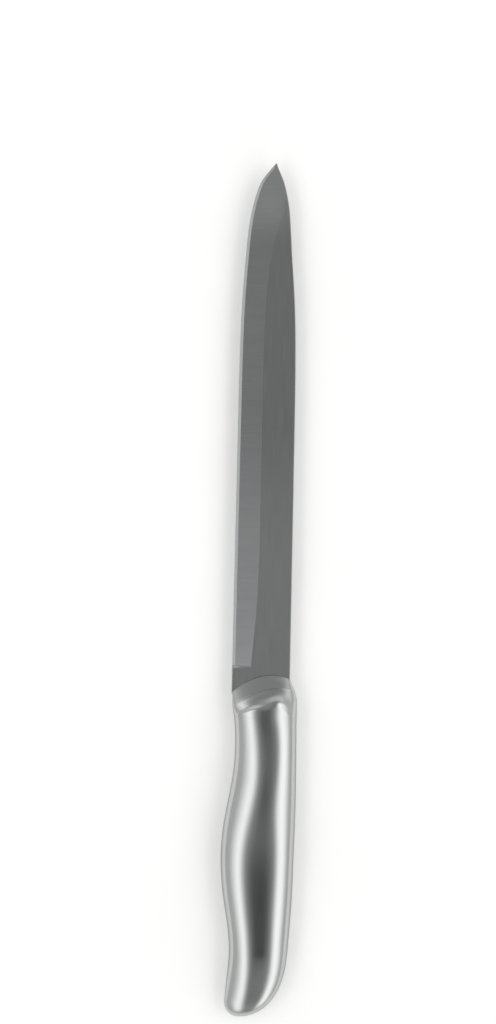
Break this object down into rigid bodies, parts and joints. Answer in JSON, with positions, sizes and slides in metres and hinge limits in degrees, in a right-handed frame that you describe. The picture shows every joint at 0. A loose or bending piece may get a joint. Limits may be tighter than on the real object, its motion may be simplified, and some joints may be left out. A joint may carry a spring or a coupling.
{
  "type": "fillet knife",
  "caption": "Kitchen fillet knife: narrow ground blade with a centred tip, domed bolster and hollow S-shaped handle, all in stainless steel.",
  "frame": {"origin": "centre of the knife's bounding box, at the surface that it lies on with its right side down", "axes": "+Y from the butt to the tip, +X from the cutting edge to the spine, +Z out of the knife's left side"},
  "size_m": [0.0278, 0.32, 0.0161],
  "materials": {
    "blade_steel": "fine ground and satin",
    "handle_steel": "satin brushed lengthwise",
    "weld_steel": "as welded"
  },
  "bodies": {
    "root": {"blade": "blade_steel", "bolster": "handle_steel", "handle_shell_left": "handle_steel", "handle_shell_right": "handle_steel", "seam_weld": "weld_steel", "tang_weld_left": "weld_steel", "tang_weld_right": "weld_steel"}
  },
  "joints": []
}
